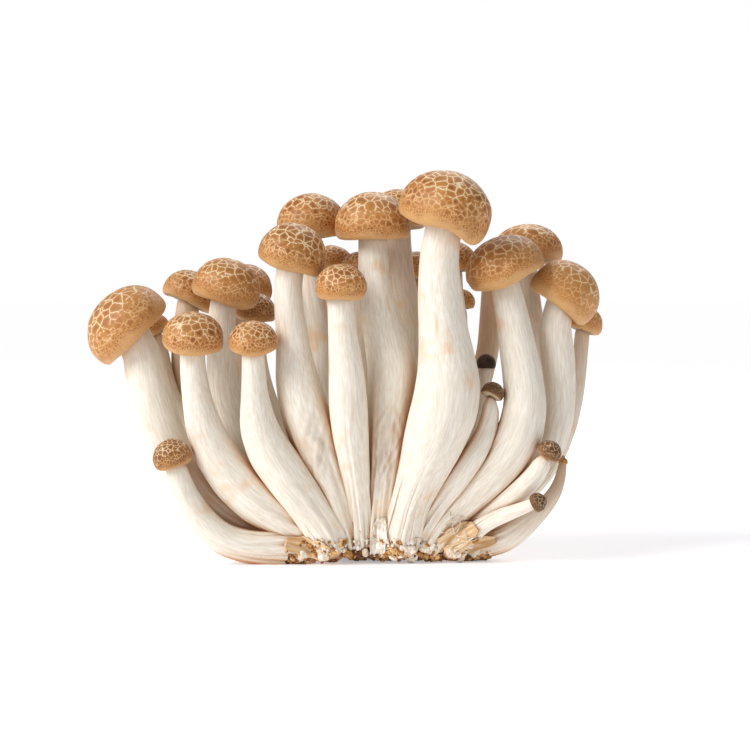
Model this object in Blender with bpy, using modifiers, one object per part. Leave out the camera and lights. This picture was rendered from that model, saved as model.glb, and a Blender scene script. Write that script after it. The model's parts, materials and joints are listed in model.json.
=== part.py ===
"""A cluster of beech mushrooms: long pale stems that grow from one crumbly foot, each with a
round cap, leaning outwards like a fan.

Every stem follows a few stations (x, y, z, radius) from its root to its neck. Stems that touch
are pressed flat against each other, as they are in a real cluster. Every cap is a turned dome
with a rolled rim and a hollow underside, into which the stem ends. Three of the youngest
mushrooms are single bodies, a stem with a button end.
"""

import math
from collections import namedtuple

import bmesh
import bpy
import numpy as np
from mathutils import Matrix, Vector, noise

MM = 0.001
GAP = 0.4  # mm between two pieces that touch

STEM_SIDES = 10
RING_EVERY = 7.0  # mm of stem between two rings
BUTTON_RING_EVERY = 3.6  # the same on a stem that ends in a button
SPINE_STEP = 1.2  # mm between the samples that neighbours press against
END_NARROWED = 0.6
LEAST_PRESSED = 0.3  # the thinnest a pressed stem gets, as a share of its free radius

CAP_SIDES = 16
CAP_ARC_POINTS = 5
RIM_ROLL = 0.13  # height of the widest place of a cap, as a share of its height
LIP_RADIUS = 0.88  # inner edge of the rolled rim, as a share of the cap's radius
HOLLOW = 0.30  # depth of the underside, as a share of the cap's height
CEILING = 0.56  # radius of the hollow's flat ceiling, as a share of the cap's radius

FOOT_MIDDLE = (10.0, -4.0)
FOOT_HALF = (22.0, 13.5, 4.0)
FOOT_LIFT = 2.0  # height of the foot's widest place
FOOT_LUMP = 2.0
FOOT_LUMPS_ACROSS = 4
FOOT_SEGMENTS = 44
FOOT_RINGS = 16
FOOT_CLEARANCE = 0.9

Mushroom = namedtuple("Mushroom", "name cap across tall lean neck stem")

# Lengths in mm, from the middle of the cluster's foot. cap is the middle of the rim, lean its
# tilt in degrees to the right and to the front, neck the stem's radius where it meets the cap,
# and stem its stations from the root upwards.
MUSHROOMS = (
    Mushroom("01", (-48, -6, 52.5), 21.5, 12, (-45, 6), 4.4,
             ((-11, -5, 5, 3), (-21, -7, 7.5, 3.8), (-31, -9, 13, 4.3), (-38, -9, 22, 4.9),
              (-43, -8, 32, 5), (-46, -7.5, 42, 4.7))),
    Mushroom("02", (-38.5, -19, 23.5), 9.5, 6, (-18, 10), 2.1,
             ((-10.5, -13, 4, 2.6), (-18.5, -15, 3.7, 3.3), (-26.5, -16, 5, 3.6), (-33, -17, 11, 3.2),
              (-36.5, -18, 17, 2.7))),
    Mushroom("03", (-34.5, -17, 50.5), 14.5, 8.5, (6, 12), 2.7,
             ((-5, -10.5, 5.5, 3.2), (-13, -13, 10.5, 4.6), (-21.5, -15, 16, 5.3),
              (-28.5, -16, 24, 4.8), (-32, -17, 32, 4.1), (-34, -17, 42, 3))),
    Mushroom("04", (-20.5, -20, 50.5), 11.5, 7, (0, 12), 2.5,
             ((-2.5, -13.5, 5.5, 3.2), (-9, -16, 15, 4.7), (-14, -18, 22, 5.4),
              (-18.5, -19.5, 30, 4.6), (-20, -20, 39, 3))),
    Mushroom("05", (-28, -5, 61), 16.5, 10, (14, 8), 3,
             ((-3, -6, 5.5, 2.8), (-10.5, -7, 12, 2.4), (-19, -7, 19, 3.3), (-24.5, -6, 29, 3.7),
              (-27.5, -5, 38, 3.8), (-28.5, -5, 50, 3.3))),
    Mushroom("06", (-38, 11, 60), 14, 8, (25, -6), 2.8,
             ((-7, 0, 6, 2.6), (-25, 3, 17, 2.6), (-35.5, 6, 28, 2.8), (-38.5, 9, 38, 2.8),
              (-38.5, 10.5, 49, 2.8))),
    Mushroom("07", (-45.5, 10.5, 52), 9.5, 5.5, (-35, -5), 1.9,
             ((-6, -2, 7, 2.2), (-21, -2.3, 13, 2), (-32, 1, 25, 2.1), (-39.5, 3, 34, 2),
              (-43.5, 7.5, 44, 1.9))),
    Mushroom("08", (-12, -14, 70), 15.5, 10, (18, 10), 3.1,
             ((0.5, -12, 5.5, 3), (-2, -14, 15.5, 3.5), (-5, -15, 24, 4.7), (-8, -15, 33, 5.5),
              (-10, -14, 41, 5.2), (-11.5, -14, 50, 3.8), (-12.5, -14, 60, 3.2))),
    Mushroom("09", (-0.5, -20, 63), 12, 7.5, (-2, 12), 2.7,
             ((4.5, -13, 5.5, 2.6), (3.5, -15.5, 18, 2.4), (2.5, -18, 26, 3.5), (1.5, -19.5, 35, 4.2),
              (1, -20, 44, 4), (0, -20, 54, 3.2))),
    Mushroom("10", (7, -6.5, 76), 18.5, 11, (0, 3), 3.3,
             ((8.5, -12.5, 5.5, 3), (9, -13, 14, 2.8), (10, -13, 23, 3.7), (11, -12.5, 34, 4.6),
              (11.5, -11, 46, 5.8), (9.5, -10, 55, 4.7), (7.5, -9, 64, 3.8))),
    Mushroom("11", (13, 9.5, 78), 14.5, 9.5, (0, -5), 2.7,
             ((11, 0, 6, 2.8), (12.5, 0, 16, 2.2), (14.5, 1, 29, 2.8), (16, 3, 42, 3.1),
              (16, 5, 54, 3.1), (14, 7, 66, 3))),
    Mushroom("12", (23, -17.5, 78), 21.5, 13, (16, 3), 4.1,
             ((13.5, -13, 5.5, 3.3), (16, -15.5, 16, 4), (19.5, -18, 24, 5.6), (22.5, -19.5, 32, 7),
              (24, -20, 40, 7.4), (24, -19, 49, 6.4), (23, -19, 58, 5.2), (22, -18, 67, 4.6))),
    Mushroom("13", (26, 1.5, 68), 11, 7, (5, -5), 2.1,
             ((15, -4, 6, 2.6), (20, -4, 15, 2), (25.5, -3, 27, 2.4), (27.5, -2, 40, 2.6),
              (27, -1, 54, 2.4))),
    Mushroom("14", (37.5, -9.5, 67), 19, 10.5, (-20, 6), 3.2,
             ((20.5, -11, 5.5, 3.2), (28.5, -13, 15, 3.9), (35.5, -15, 22, 5.1),
              (40.5, -16, 29, 5.2), (42.5, -16, 36, 4.8), (42, -14, 43, 4.5), (40, -12, 53, 3.9))),
    Mushroom("15", (43, 7, 70.5), 17, 9, (2, -8), 2.8,
             ((21, 0.5, 6, 2.8), (33, 0, 14.5, 2.4), (42, 2, 25, 2.8), (46, 4, 38, 3.1),
              (45.5, 5, 51, 3), (44, 6, 62, 2.8))),
    Mushroom("16", (50, -5, 60), 17.5, 11, (42, 3), 3.7,
             ((24, -6, 5.5, 2.8), (32, -7, 10, 2.2), (40, -8, 16, 2.6), (47, -8, 23, 2.8),
              (50.5, -8, 31, 3.1), (51, -7, 40, 3.6), (50.5, -6, 50, 4))),
    Mushroom("17", (57, 6.5, 53.5), 9.5, 6, (20, -5), 1.7,
             ((26.5, -2.5, 5.5, 2.2), (36.5, -1, 10, 1.6), (45.5, -1, 16.5, 1.7), (51, 0, 24, 1.7),
              (54.5, 1, 33, 1.6), (56.5, 4.5, 45, 1.6))),
    Mushroom("18", (34.3, -17.5, 39), 5.6, 3.5, (25, -20), 1.4,
             ((17.5, -12.5, 6, 2.6), (22, -14, 13, 2.3), (26, -16.5, 19, 3), (30.5, -18, 25, 2.9),
              (33.8, -17.2, 31, 2.2))),
    Mushroom("19", (28, 9, 59), 7, 4.5, (8, -5), 1.4,
             ((17, 3, 6, 2.4), (24.5, 5, 23, 1.7), (29, 7, 37, 1.7), (28.5, 8, 49, 1.5))),
    Mushroom("20", (47, -20, 25.5), 6, 3.8, (32, 12), 1.5,
             ((26.5, -10, 6, 2.3), (35.5, -15, 12.5, 2.2), (41, -18, 17, 2.6),
              (45, -19.5, 21.5, 2.2))),
    Mushroom("21", (-24.5, 17, 61), 14, 8.5, (5, -8), 2.4,
             ((-1, 4, 6, 2.6), (-9, 4, 12, 2.2), (-17.5, 8, 23, 2.6), (-23.5, 11, 36, 2.6),
              (-25, 16, 49, 2.5))),
    Mushroom("22", (-11.5, 22.5, 58), 12.5, 8, (12, -14), 2.4,
             ((3.5, 6, 6, 2.8), (-1, 9, 13, 2.2), (-6.5, 13, 24, 2.5), (-11.5, 17, 36, 2.6),
              (-12.5, 21, 47, 2.5))),
    Mushroom("23", (-21, 4, 56), 10, 6.5, (5, 0), 2.1,
             ((-1, -3, 6, 2.4), (-7, -3, 16, 2.2), (-14, -1, 27, 2.6), (-18.5, 1, 37, 2.6),
              (-21, 3, 47, 2.4))),
    Mushroom("24", (-8, 4, 76.5), 15.5, 9.5, (0, -3), 2.4,
             ((3, -4, 6, 2.6), (0.5, -3, 17, 2.2), (-3, -1, 30, 2.8), (-5, 0, 44, 3),
              (-6.5, 2, 56, 3), (-8, 4, 67, 2.7))),
    Mushroom("25", (-3, 19, 67.5), 11, 6.5, (0, -10), 1.7,
             ((7, 6, 6, 2.4), (2.5, 10, 24, 1.9), (-1, 14, 40, 1.9), (-3, 18, 55, 1.8))),
    Mushroom("26", (4, 8, 66), 10, 6.5, (0, -5), 1.9,
             ((7.5, 2, 6, 2.4), (7, 3, 26, 2.1), (6, 5, 41, 2.3), (4.5, 7, 55, 2.1))),
    Mushroom("27", (36, 19, 64), 13.5, 8, (8, -14), 2.3,
             ((18, 6.5, 6, 2.8), (24, 10, 18, 2.3), (30, 13, 32, 2.6), (35, 17, 47, 2.6))),
    Mushroom("28", (17.5, 19, 65), 12, 7.5, (5, -10), 2,
             ((12.5, 6, 6, 2.6), (14.5, 10, 22, 2), (17, 14, 38, 2.2), (17.5, 18, 54, 2.1))),
)

# The youngest mushrooms have no open cap yet: their stem ends in a button.
PINS = (
    Mushroom("middle", (34, 2, 46), 4.6, 3.4, (5, 5), 1.1,
             ((18.5, 0, 6, 1.8), (25, 0, 16, 1.4), (30.5, 1, 28, 1.4), (33, 2, 38, 1.2),
              (34, 2, 43, 1.1))),
    Mushroom("front", (45.5, -23, 15.5), 4.2, 2.8, (40, 12), 1.3,
             ((28.5, -14.5, 5.5, 1.6), (33, -16.5, 9.5, 1.5), (38, -19.5, 12, 1.6),
              (43, -22, 14.3, 1.3))),
    Mushroom("right", (51.5, -11, 24.5), 2.4, 1.8, (0, 0), 1,
             ((30, -8.5, 4.5, 2.4), (36, -10, 4.5, 2.9), (41.5, -11.5, 8, 2.7), (46, -12, 12, 2.1),
              (49.5, -12, 16, 1.5), (51.3, -11.3, 22, 1))),
)


def clear_scene():
    for obj in list(bpy.data.objects):
        bpy.data.objects.remove(obj)


def make_material(name, colour, roughness):
    material = bpy.data.materials.new(name)
    material.use_nodes = True
    shader = material.node_tree.nodes["Principled BSDF"]
    shader.inputs["Base Color"].default_value = (*colour, 1.0)
    shader.inputs["Roughness"].default_value = roughness
    shader.inputs["Metallic"].default_value = 0.0
    return material


def cap_material():
    """Smooth brown skin of the cap."""
    return make_material("cap_skin", (0.42, 0.20, 0.07), 0.45)


def stem_material():
    """Cream flesh of the stem, with a dull satin surface."""
    return make_material("stem_flesh", (0.86, 0.80, 0.70), 0.6)


def foot_material():
    """Matted growing crumbs, dry and rough."""
    return make_material("foot_crumb", (0.36, 0.20, 0.08), 0.9)


def cap_axis(lean):
    """The direction that a cap points in, from its lean to the right and to the front."""
    right, front = (math.radians(angle) for angle in lean)
    return Vector((math.tan(right), -math.tan(front), 1.0)).normalized()


def spine_of(stations):
    """Samples (x, y, z, radius) evenly along one smooth curve through the stations."""
    knots = np.array(stations, float)
    gaps = np.linalg.norm(np.diff(knots[:, :3], axis=0), axis=1)
    reached = np.concatenate([[0.0], np.cumsum(gaps)])
    slopes = np.gradient(knots, reached, axis=0)
    spine = []
    for along in np.linspace(0, reached[-1], round(reached[-1] / SPINE_STEP) + 1):
        i = min(np.searchsorted(reached, along, side="right"), len(gaps)) - 1
        share = (along - reached[i]) / gaps[i]
        rest = 1 - share
        spine.append(
            rest**2 * (1 + 2 * share) * knots[i]
            + share**2 * (1 + 2 * rest) * knots[i + 1]
            + gaps[i] * share * rest * (rest * slopes[i] - share * slopes[i + 1])
        )
    return np.array(spine)


def round_off(spine, both_ends):
    """Narrows the root, and on a button the upper end too, so that they end bluntly."""
    spine[0, 3] *= END_NARROWED
    if both_ends:
        spine[-1, 3] *= END_NARROWED
    return spine


def stations_of(mushroom):
    """The stem's stations, carried on through the rim along the cap's axis."""
    middle = Vector(mushroom.cap)
    axis = cap_axis(mushroom.lean)
    if mushroom in PINS:
        button = mushroom.across / 2
        return (*mushroom.stem, (*middle, button), (*(middle + axis * 0.4 * mushroom.tall), 0.8 * button))
    top = middle + axis * (HOLLOW * mushroom.tall - GAP)
    return (*mushroom.stem, (*middle, mushroom.neck), (*top, mushroom.neck))


def pressed(centre, radius, directions, others):
    """The stem's reach in each direction, up to half the gap short of its neighbours' share."""
    apart = others[:, :3] - centre
    reach = directions @ apart.T
    share = (apart**2).sum(axis=1) + radius**2 - others[:, 3] ** 2
    limit = np.where(reach > 1e-6, share / np.maximum(2 * reach, 1e-6), np.inf)
    return np.clip(limit.min(axis=1) - GAP / 2, LEAST_PRESSED * radius, radius)


def tangents_of(spine):
    tangents = np.gradient(spine[:, :3], axis=0)
    return tangents / np.linalg.norm(tangents, axis=1)[:, None]


def ring_axes(spine):
    """Two unit vectors across the spine at each sample, turned as little as possible."""
    tangents = tangents_of(spine)
    side = Vector(tangents[0]).orthogonal().normalized()
    axes = []
    for tangent in tangents:
        tangent = Vector(tangent)
        side = (side - tangent * side.dot(tangent)).normalized()
        axes.append((np.array(side), np.array(tangent.cross(side))))
    return axes


def lofted(name, rings):
    """A closed mesh through rings that all have the same number of corners."""
    shape = bmesh.new()
    ring = bmesh.ops.create_circle(shape, segments=len(rings[0]), radius=1)["verts"]
    for vert, place in zip(ring, rings[0]):
        vert.co = place
    for places in rings[1:]:
        around = {edge for vert in ring for edge in vert.link_edges if edge.other_vert(vert) in ring}
        grown = bmesh.ops.extrude_edge_only(shape, edges=list(around))["geom"]
        fresh = {part for part in grown if isinstance(part, bmesh.types.BMVert)}
        ring = [
            next(edge.other_vert(vert) for edge in vert.link_edges if edge.other_vert(vert) in fresh)
            for vert in ring
        ]
        for vert, place in zip(ring, places):
            vert.co = place
    bmesh.ops.holes_fill(shape, edges=shape.edges, sides=0)
    bmesh.ops.recalc_face_normals(shape, faces=shape.faces)
    bmesh.ops.transform(shape, matrix=Matrix.Scale(MM, 4), verts=shape.verts)
    mesh = bpy.data.meshes.new(name)
    shape.to_mesh(mesh)
    shape.free()
    return mesh


def add_object(name, mesh, material, collection):
    """One named part, shaded smooth except across its sharp edges."""
    mesh.materials.append(material)
    mesh.shade_smooth()
    mesh.set_sharp_from_angle(angle=math.radians(50))
    part = bpy.data.objects.new(name, mesh)
    collection.objects.link(part)
    return part


def stem_rings(spine, others, buttoned):
    """The rings of a stem, closer together at its root and at a button."""
    turns = np.linspace(0, 2 * math.pi, STEM_SIDES, endpoint=False)
    axes = ring_axes(spine)
    pace = round((BUTTON_RING_EVERY if buttoned else RING_EVERY) / SPINE_STEP)
    last = len(spine) - 1
    picked = [0, 1, *range(3, last - pace // 2, pace), last]
    if buttoned:
        picked.insert(-1, last - 1)
    rings = []
    for index in picked:
        across, along = axes[index]
        ways = np.outer(np.cos(turns), across) + np.outer(np.sin(turns), along)
        centre, radius = spine[index, :3], spine[index, 3]
        reach = pressed(centre, radius, ways, others)
        rings.append([Vector(centre + far * way) for far, way in zip(reach, ways)])
    return rings


def cap_profile(across, tall):
    """The cap's outline at +X, from the crown down over the rim and back under the hollow."""
    radius = across / 2
    widest = RIM_ROLL * tall
    outline = []
    for i in range(CAP_ARC_POINTS + 1):
        turn = 0.5 * math.pi * i / CAP_ARC_POINTS
        outline.append((radius * math.sin(turn), widest + (tall - widest) * math.cos(turn)))
    outline.append((0.955 * radius, 0.0))
    outline.append((LIP_RADIUS * radius, 0.04 * tall))
    outline.append((CEILING * radius, HOLLOW * tall))
    outline.append((0.0, HOLLOW * tall))
    return [(r * MM, z * MM) for r, z in outline]


def build_cap(mushroom, material, collection):
    """A turned dome, set on its stem's upper end."""
    name = f"cap_{mushroom.name}"
    outline = cap_profile(mushroom.across, mushroom.tall)
    mesh = bpy.data.meshes.new(name)
    edges = [(i, i + 1) for i in range(len(outline) - 1)]
    mesh.from_pydata([(r, 0, z) for r, z in outline], edges, [])
    cap = add_object(name, mesh, material, collection)
    screw = cap.modifiers.new("turned", "SCREW")
    screw.steps = CAP_SIDES
    screw.render_steps = CAP_SIDES
    screw.use_merge_vertices = True
    screw.merge_threshold = 0.00001
    cap.location = Vector(mushroom.cap) * MM
    cap.rotation_euler = cap_axis(mushroom.lean).to_track_quat("Z", "Y").to_euler()
    return cap


def build_stem(mushroom, spines, material, collection):
    kind = "pin" if mushroom in PINS else "stem"
    name = f"{kind}_{mushroom.name}"
    others = np.vstack([spine for other, spine in spines.items() if other != mushroom.name])
    spine = spines[mushroom.name]
    rings = stem_rings(spine, others, mushroom in PINS)
    return add_object(name, lofted(name, rings), material, collection)


def clear_of(place, slices):
    """Whether a point of the foot keeps clear of every slice (middle, radius, axis) of stem."""
    apart = place - slices[:, :3]
    lengthwise = (apart * slices[:, 4:]).sum(axis=1)
    sideways = np.sqrt(np.maximum((apart**2).sum(axis=1) - lengthwise**2, 0))
    beside = sideways > slices[:, 3] + FOOT_CLEARANCE
    beyond = np.abs(lengthwise) > SPINE_STEP / 2 + FOOT_CLEARANCE
    return bool((beside | beyond).all())


def build_foot(spines, material, collection):
    """A lumpy mound with a flat underside, hollowed where the stems' roots sit in it."""
    slices = np.vstack([np.hstack([spine, tangents_of(spine)]) for spine in spines.values()])
    heart = np.array([*FOOT_MIDDLE, 0.0])
    shape = bmesh.new()
    bmesh.ops.create_uvsphere(shape, u_segments=FOOT_SEGMENTS, v_segments=FOOT_RINGS, radius=1)
    for vert in shape.verts:
        lump = 1 + FOOT_LUMP / FOOT_HALF[1] * noise.noise(vert.co * FOOT_LUMPS_ACROSS)
        place = np.array(vert.co) * FOOT_HALF * lump + heart + (0, 0, FOOT_LIFT)
        place[2] = max(place[2], 0.0)
        while not clear_of(place, slices):
            place = heart + (place - heart) * 0.97
        vert.co = Vector(place) * MM
    mesh = bpy.data.meshes.new("foot")
    shape.to_mesh(mesh)
    shape.free()
    return add_object("foot_clump", mesh, material, collection)


def stand_on_middle(parts):
    """Moves the whole cluster so that its box stands on the origin."""
    bpy.context.view_layer.update()
    graph = bpy.context.evaluated_depsgraph_get()
    corners = []
    for part in parts:
        solid = part.evaluated_get(graph)
        corners += [solid.matrix_world @ vert.co for vert in solid.data.vertices]
    lows = [min(corner[i] for corner in corners) for i in range(3)]
    highs = [max(corner[i] for corner in corners) for i in range(3)]
    shift = Vector(((lows[0] + highs[0]) / 2, (lows[1] + highs[1]) / 2, lows[2]))
    for part in parts:
        part.location -= shift


def main():
    clear_scene()
    cluster = bpy.data.collections.new("beech_mushroom_cluster")
    bpy.context.scene.collection.children.link(cluster)
    skin, flesh, crumb = cap_material(), stem_material(), foot_material()
    grown = (*MUSHROOMS, *PINS)
    spines = {one.name: round_off(spine_of(stations_of(one)), one in PINS) for one in grown}
    parts = [build_stem(one, spines, flesh, cluster) for one in grown]
    parts += [build_cap(one, skin, cluster) for one in MUSHROOMS]
    parts.append(build_foot(spines, crumb, cluster))
    stand_on_middle(parts)


main()
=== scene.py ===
# %% [markdown]
# # A cluster of beech mushrooms
# A bunch of small brown mushrooms that all grow from one crumbly foot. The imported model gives
# every cap, stem and the foot as a plain solid. Each lesson below looks at one of these on the
# real thing, says how it could be made, and grows a fine skin over the plain solid.

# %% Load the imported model
import json
import math
from contextlib import contextmanager
from functools import partial

import bmesh
import bpy
import numpy as np
from mathutils import Matrix, Vector
from mathutils.bvhtree import BVHTree

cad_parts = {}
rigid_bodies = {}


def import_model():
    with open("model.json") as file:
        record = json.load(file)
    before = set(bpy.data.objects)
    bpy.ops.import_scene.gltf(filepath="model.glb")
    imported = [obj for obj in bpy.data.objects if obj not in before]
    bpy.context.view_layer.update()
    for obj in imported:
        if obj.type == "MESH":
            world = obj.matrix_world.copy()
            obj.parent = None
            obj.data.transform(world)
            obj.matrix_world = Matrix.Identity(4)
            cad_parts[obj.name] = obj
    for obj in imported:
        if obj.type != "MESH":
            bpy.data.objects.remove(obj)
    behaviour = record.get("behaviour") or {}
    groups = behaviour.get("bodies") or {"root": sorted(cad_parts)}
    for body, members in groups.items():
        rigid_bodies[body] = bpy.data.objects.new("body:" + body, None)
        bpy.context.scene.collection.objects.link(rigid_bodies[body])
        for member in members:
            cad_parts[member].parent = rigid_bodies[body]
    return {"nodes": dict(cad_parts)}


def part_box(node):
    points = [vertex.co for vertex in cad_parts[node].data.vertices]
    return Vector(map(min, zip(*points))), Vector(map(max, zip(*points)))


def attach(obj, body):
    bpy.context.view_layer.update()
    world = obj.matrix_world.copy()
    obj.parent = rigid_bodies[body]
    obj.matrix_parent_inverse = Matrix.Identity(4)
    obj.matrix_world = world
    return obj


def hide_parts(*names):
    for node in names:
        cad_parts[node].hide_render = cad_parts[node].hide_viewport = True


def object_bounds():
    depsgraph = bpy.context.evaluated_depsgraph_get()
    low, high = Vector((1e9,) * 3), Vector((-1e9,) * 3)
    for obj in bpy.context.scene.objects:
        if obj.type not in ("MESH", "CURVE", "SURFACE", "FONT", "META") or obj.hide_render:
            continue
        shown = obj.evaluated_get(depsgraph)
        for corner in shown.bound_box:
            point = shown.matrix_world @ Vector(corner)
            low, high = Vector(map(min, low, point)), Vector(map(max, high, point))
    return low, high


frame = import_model()
cad_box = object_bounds()
MM = 0.001
FULL_TURN = 2 * math.pi
chance = np.random.default_rng(11)
cluster_low, cluster_high = (np.array(corner) for corner in cad_box)
cluster_size = cluster_high - cluster_low
print("cluster", (cluster_size / MM).round(1), "mm,", len(frame["nodes"]), "nodes")

# %% [markdown]
# ## Camera
# A product picture of food is taken with a long lens from a little above the table, so that the
# mushrooms keep their true proportions. The distance follows from the lens and from how much of
# the scene the picture takes in.

# %% Camera
LENS = 120
PICTURE_WIDTH = 1.465 * float(cluster_size[0])
looked_at = Vector(cluster_size * (0.052, 0, 0.474))
rise = math.radians(2.8)


def facing_cluster(place):
    """The turn that points a camera or a lamp from its place to the middle of the cluster."""
    return (looked_at - Vector(place)).to_track_quat("-Z", "Y").to_euler()


camera_data = bpy.data.cameras.new("camera")
camera_data.lens = LENS
distance = PICTURE_WIDTH * LENS / camera_data.sensor_width
camera = bpy.data.objects.new("camera", camera_data)
bpy.context.scene.collection.objects.link(camera)
camera.location = looked_at + distance * Vector((0, -math.cos(rise), math.sin(rise)))
camera.rotation_euler = facing_cluster(camera.location)
bpy.context.scene.camera = camera
print("camera is", round(distance, 3), "m away")

# %% [markdown]
# ## A helper for materials
# Every finish below is a small graph of nodes. One function adds a node, sets its settings and
# makes its links, so that a graph reads as a list of steps. A number names an input where its
# words are not unique.

# %% Material helpers
COLOURS = {"data_type": "RGBA"}  # a Mix node that mixes colours: inputs 0, 6 and 7, output 2
SMOOTH = {"interpolation_type": "SMOOTHSTEP"}  # a Map Range node that eases in and out


def linear(hex_colour):
    """An sRGB hex colour as the linear values that a shader needs."""
    channels = [int(hex_colour[i : i + 2], 16) / 255 for i in (1, 3, 5)]
    low = [c / 12.92 if c <= 0.04045 else ((c + 0.055) / 1.055) ** 2.4 for c in channels]
    return (*low, 1.0)


def set_inputs(tree, node, inputs):
    """Gives a node's inputs their values, and a link where the value is a socket."""
    for name, value in inputs.items():
        if isinstance(value, bpy.types.NodeSocket):
            tree.links.new(value, node.inputs[name])
        else:
            node.inputs[name].default_value = value


def add_node(tree, kind, inputs, output=0, **settings):
    """Adds a node with its settings and links, and hands back one of its outputs."""
    node = tree.nodes.new("ShaderNode" + kind)
    for name, value in settings.items():
        setattr(node, name, value)
    set_inputs(tree, node, inputs)
    return node.outputs[output]


def new_material(name):
    material = bpy.data.materials.new(name)
    material.use_nodes = True
    return material, material.node_tree, material.node_tree.nodes["Principled BSDF"]


print("white is", linear("#ffffff"))

# %% [markdown]
# ## Light
# Food on white is lit by large soft sources, so that shadows stay open. The world stands for the
# white walls. A wide soft light at the upper left shapes the stems. It is a sun with a large
# angle, because that lights the whole table evenly. One soft box behind gives the caps a pale
# edge.

# %% Light
WALL_SEEN, WALL_LIGHT = 1.0, 0.36  # how bright the walls look, and how much light they give
KEY_SOFTNESS = math.radians(35)


def hang_lamp(name, kind, place, **settings):
    """A lamp that faces the middle of the cluster."""
    data = bpy.data.lights.new(name, kind)
    for setting, value in settings.items():
        setattr(data, setting, value)
    lamp = bpy.data.objects.new(name, data)
    lamp.location = place
    lamp.rotation_euler = facing_cluster(place)
    bpy.context.scene.collection.objects.link(lamp)


hang_lamp("key_light", "SUN", (-0.72, -0.42, 0.58), energy=2.45, angle=KEY_SOFTNESS)
hang_lamp("back_box", "AREA", (0.15, 0.5, 0.55), energy=1.6, size=0.4)
world = bpy.data.worlds.new("white_room")
world.use_nodes = True
seen = add_node(world.node_tree, "LightPath", {}, "Is Camera Ray")
strength = add_node(world.node_tree, "MapRange", {0: seen, 3: WALL_LIGHT, 4: WALL_SEEN})
walls = world.node_tree.nodes["Background"]
set_inputs(world.node_tree, walls, {"Color": (1, 1, 1, 1), "Strength": strength})
bpy.context.scene.world = world
bpy.context.scene.view_settings.view_transform = "Standard"

# %% [markdown]
# ## Floor
# A white acrylic sheet that is lit from below, as product tables are. It hides the horizon and
# leaves only a faint contact shadow.

# %% Floor
FLOOR_HALF = 3.0
FLOOR_CLOUD = 120 * MM  # size of the faint clouds in the acrylic


def table_material():
    """White satin acrylic: even, with soft reflections and a little light from below."""
    material, tree, shader = new_material("lit_white_acrylic")
    place = add_node(tree, "TexCoord", {}, "Object")
    cloud = add_node(tree, "TexNoise", {"Vector": place, "Scale": 1 / FLOOR_CLOUD, "Detail": 3.0}, "Fac")
    white = add_node(tree, "Mix", {0: cloud, 6: linear("#f7f5fb"), 7: linear("#fdfcff")}, 2, **COLOURS)
    set_inputs(tree, shader, {
        "Base Color": white, "Roughness": 0.35,
        "Emission Color": (1, 1, 1, 1), "Emission Strength": 0.38,
    })
    return material


def build_floor():
    shape = bmesh.new()
    bmesh.ops.create_grid(shape, x_segments=2, y_segments=2, size=FLOOR_HALF)
    mesh = bpy.data.meshes.new("floor")
    shape.to_mesh(mesh)
    shape.free()
    floor = bpy.data.objects.new("floor", mesh)
    bpy.context.scene.collection.objects.link(floor)
    mesh.materials.append(table_material())


build_floor()
print("floor", 2 * FLOOR_HALF, "m wide")

# %% [markdown]
# ## Cap skin
# The skin of a beech mushroom's cap is a thin brown layer that cracks while the cap swells, so
# pale flesh shows between brown plates. Plates are 2 to 3 mm wide at the crown, smaller lower
# down, and fade into fine specks and a plain tan band at the rim. Cells of a Voronoi pattern
# crack in the same way: the distance to a cell's edge gives the pale lines. The mesh stores how
# far down the cap a point is, and that chooses between the sizes.

# %% Cap skin
PLATE, SMALL_PLATE, SPECK = 2.15 * MM, 1.3 * MM, 0.6 * MM
SKIN_GRAIN = 0.35 * MM


def crack_gap(node, down, moved):
    """How far a point lies from the nearest crack, in shares of a plate's size."""
    large, small, specks = (
        node("TexVoronoi", {"Vector": moved, "Scale": 1 / cell, "Randomness": 0.85}, "Distance",
             feature="DISTANCE_TO_EDGE")
        for cell in (PLATE, SMALL_PLATE, SPECK)
    )
    lower = node("MapRange", {0: down, 1: 0.48, 2: 0.80}, **SMOOTH)
    lowest = node("MapRange", {0: down, 1: 0.82, 2: 1.0}, **SMOOTH)
    gap = node("Mix", {0: lower, 2: large, 3: small})
    return node("Mix", {0: lowest, 2: gap, 3: specks})


def plate_colour(node, place, moved, frayed, worn, youth):
    """Brown plates: darkest in their middle, each of its own brown, tan where they are worn."""
    tint = node("TexVoronoi", {"Vector": moved, "Scale": 1 / PLATE}, "Color")
    dark = node("Mix", {0: tint, 6: linear("#7c4216"), 7: linear("#a4632a")}, 2, **COLOURS)
    heart = node("MapRange", {0: frayed, 1: 0.12, 2: 0.36}, **SMOOTH)
    plate = node("Mix", {0: heart, 6: linear("#bf8243"), 7: dark}, 2, **COLOURS)
    cloud = node("TexNoise", {"Vector": place, "Scale": 1 / (7 * MM), "Detail": 1.0}, "Fac")
    faded = node("MapRange", {0: cloud, 1: 0.4, 2: 0.7, 4: 0.45}, **SMOOTH)
    plate = node("Mix", {0: faded, 6: plate, 7: linear("#cf9858")}, 2, **COLOURS)
    plate = node("Mix", {0: worn, 6: plate, 7: linear("#cd9150")}, 2, **COLOURS)
    return node("Mix", {0: youth, 6: plate, 7: linear("#2c1006")}, 2, **COLOURS)


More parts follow.
